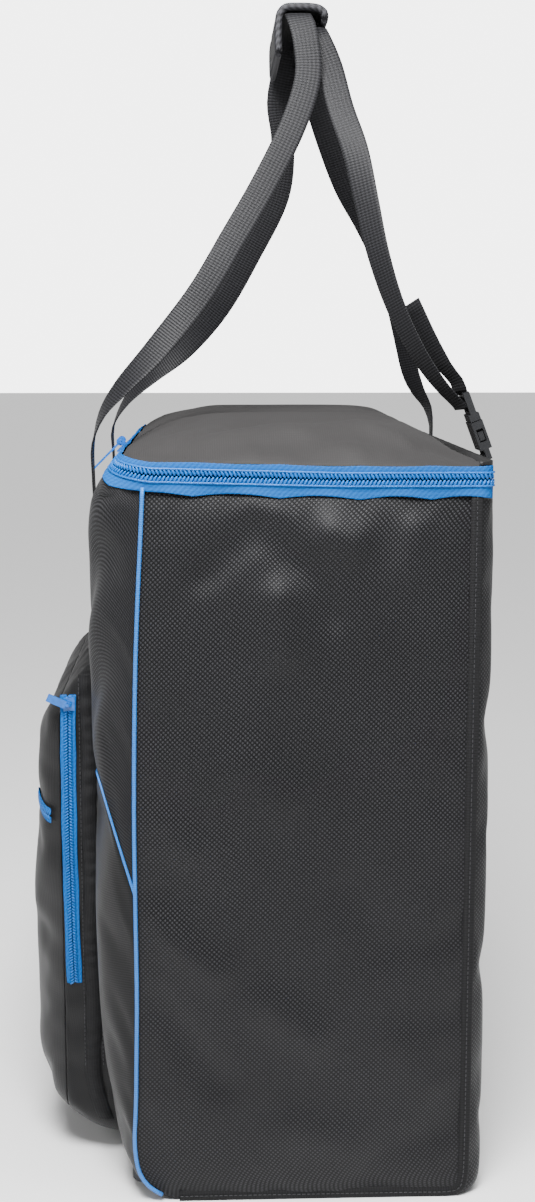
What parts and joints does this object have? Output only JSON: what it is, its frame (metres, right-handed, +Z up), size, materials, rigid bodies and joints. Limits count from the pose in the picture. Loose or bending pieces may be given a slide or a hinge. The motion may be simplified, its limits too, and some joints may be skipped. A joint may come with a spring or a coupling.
{
  "type": "bowling ball bag",
  "caption": "Tall soft ball bag with a zipped domed lid, padded walls, front pocket, webbing loops joined by a grip wrap, and a side-release buckle.",
  "frame": {"origin": "middle of the flat base, on the surface the bag stands on", "axes": "+X the bag's right-hand end, -Y the pocket side, +Z up through the grip"},
  "size_m": [0.4648, 0.3527, 0.882],
  "materials": {
    "body_weave": "black and grey dobby weave, coated inside",
    "matte_fabric": "plain black polyester",
    "lid_fabric": "mid-grey smooth polyester",
    "blue_tape": "azure woven zip tape",
    "blue_coil": "azure nylon coil",
    "blue_metal": "azure enamel on cast zinc",
    "blue_puller": "azure moulded puller",
    "blue_piping": "pale azure corded piping",
    "black_binding": "black folded binding",
    "foam": "grey closed-cell foam",
    "board": "black polyethylene board",
    "lining": "grey nylon lining",
    "webbing": "charcoal ribbed polyester webbing",
    "grip_cloth": "padded charcoal cloth with herringbone binding",
    "buckle_plastic": "dark grey acetal"
  },
  "bodies": {
    "bag": {"accent_piping_left": "blue_piping", "accent_piping_right": "blue_piping", "bag_zip_coil": "blue_coil", "bag_zip_tape": "blue_tape", "ball_cradle_left": "foam", "ball_cradle_right": "foam", "ball_divider": "foam", "base_board": "board", "base_panel": "matte_fabric", "end_binding_left": "black_binding", "end_binding_right": "black_binding", "end_foam_left": "foam", "end_foam_right": "foam", "end_panel_left": "body_weave", "end_panel_right": "body_weave", "front_foam": "foam", "front_lower_panel": "matte_fabric", "front_panel": "body_weave", "front_piping_left": "blue_piping", "front_piping_right": "blue_piping", "front_rim_fabric": "body_weave", "front_webbing_left": "webbing", "front_webbing_right": "webbing", "lining": "lining", "organiser_zip_coil": "blue_coil", "organiser_zip_tape": "blue_tape", "pocket_front": "body_weave", "pocket_gusset": "body_weave", "pocket_zip_coil": "blue_coil", "pocket_zip_tape": "blue_tape", "rear_foam": "foam", "rear_panel": "body_weave", "rear_webbing_left": "webbing", "rear_webbing_right": "webbing"},
    "lid": {"lid_panel": "lid_fabric", "lid_foam": "foam", "lid_lining": "lining", "lid_hinge_strip": "lid_fabric", "lid_zip_tape": "blue_tape", "lid_zip_coil": "blue_coil"},
    "front_handle": {"front_handle_webbing": "webbing", "grip_wrap": "grip_cloth"},
    "rear_handle": {"rear_handle_webbing": "webbing", "rear_handle_tail": "webbing", "buckle_socket": "buckle_plastic", "buckle_plug": "buckle_plastic", "buckle_webbing": "webbing"},
    "main_slider_right": {"main_slider_right": "blue_metal"},
    "main_slider_left": {"main_slider_left": "blue_metal"},
    "main_puller_right": {"main_puller_right": "blue_puller"},
    "main_puller_left": {"main_puller_left": "blue_puller"},
    "pocket_slider": {"pocket_slider": "blue_metal"},
    "pocket_puller": {"pocket_puller": "blue_metal"},
    "organiser_slider": {"organiser_slider": "blue_metal"},
    "organiser_puller": {"organiser_puller": "blue_metal"},
    "squeeze_arm_right": {"squeeze_arm_right": "buckle_plastic"},
    "squeeze_arm_left": {"squeeze_arm_left": "buckle_plastic"}
  },
  "joints": [
    {"name": "lid_open", "type": "hinge", "parent": "bag", "child": "lid", "pos_m": [0, 0.125, 0.532], "axis": [-1, 0, 0], "range_deg": [0, 115]},
    {"name": "rear_handle_fold", "type": "hinge", "parent": "bag", "child": "rear_handle", "pos_m": [0, 0.125, 0.532], "axis": [-1, 0, 0], "range_deg": [0, 115]},
    {"name": "front_handle_fold", "type": "hinge", "parent": "bag", "child": "front_handle", "pos_m": [0, -0.158, 0.505], "axis": [1, 0, 0], "range_deg": [0, 143.75]},
    {"name": "main_slider_right_run", "type": "slide", "parent": "bag", "child": "main_slider_right", "axis": [1, 0, 0], "range_m": [0, 0.056]},
    {"name": "main_slider_left_run", "type": "slide", "parent": "bag", "child": "main_slider_left", "axis": [-1, 0, 0], "range_m": [0, 0.13]},
    {"name": "main_puller_right_swing", "type": "hinge", "parent": "main_slider_right", "child": "main_puller_right", "pos_m": [0.048, -0.14395, 0.5489], "axis": [-1, 0, 0], "range_deg": [0, 120]},
    {"name": "main_puller_left_swing", "type": "hinge", "parent": "main_slider_left", "child": "main_puller_left", "pos_m": [0.026, -0.14395, 0.5489], "axis": [-1, 0, 0], "range_deg": [0, 120]},
    {"name": "pocket_slider_run", "type": "slide", "parent": "bag", "child": "pocket_slider", "axis": [0, 0, -1], "range_m": [0, 0.213]},
    {"name": "pocket_puller_swing", "type": "hinge", "parent": "pocket_slider", "child": "pocket_puller", "pos_m": [0.1657, -0.1785, 0.361], "axis": [0, 0, 1], "range_deg": [0, 150]},
    {"name": "organiser_slider_run", "type": "slide", "parent": "bag", "child": "organiser_slider", "axis": [1, 0, 0], "range_m": [0, 0.186]},
    {"name": "organiser_puller_swing", "type": "hinge", "parent": "organiser_slider", "child": "organiser_puller", "pos_m": [-0.093, -0.2117, 0.272], "axis": [-1, 0, 0], "range_deg": [0, 150]},
    {"name": "squeeze_arm_right_press", "type": "hinge", "parent": "rear_handle", "child": "squeeze_arm_right", "pos_m": [0.1315, 0.12601, 0.56882], "axis": [0, 0.9336, 0.3584], "range_deg": [0, 8], "stiffness_Nm_per_rad": 0.05},
    {"name": "squeeze_arm_left_press", "type": "hinge", "parent": "rear_handle", "child": "squeeze_arm_left", "pos_m": [0.1185, 0.12601, 0.56882], "axis": [0, -0.9336, -0.3584], "range_deg": [0, 8], "stiffness_Nm_per_rad": 0.05}
  ],
  "couplings": [
    {"joint": "rear_handle_fold", "follows": "lid_open", "ratio": 1},
    {"joint": "front_handle_fold", "follows": "lid_open", "ratio": 1.25},
    {"joint": "squeeze_arm_left_press", "follows": "squeeze_arm_right_press", "ratio": 1}
  ]
}
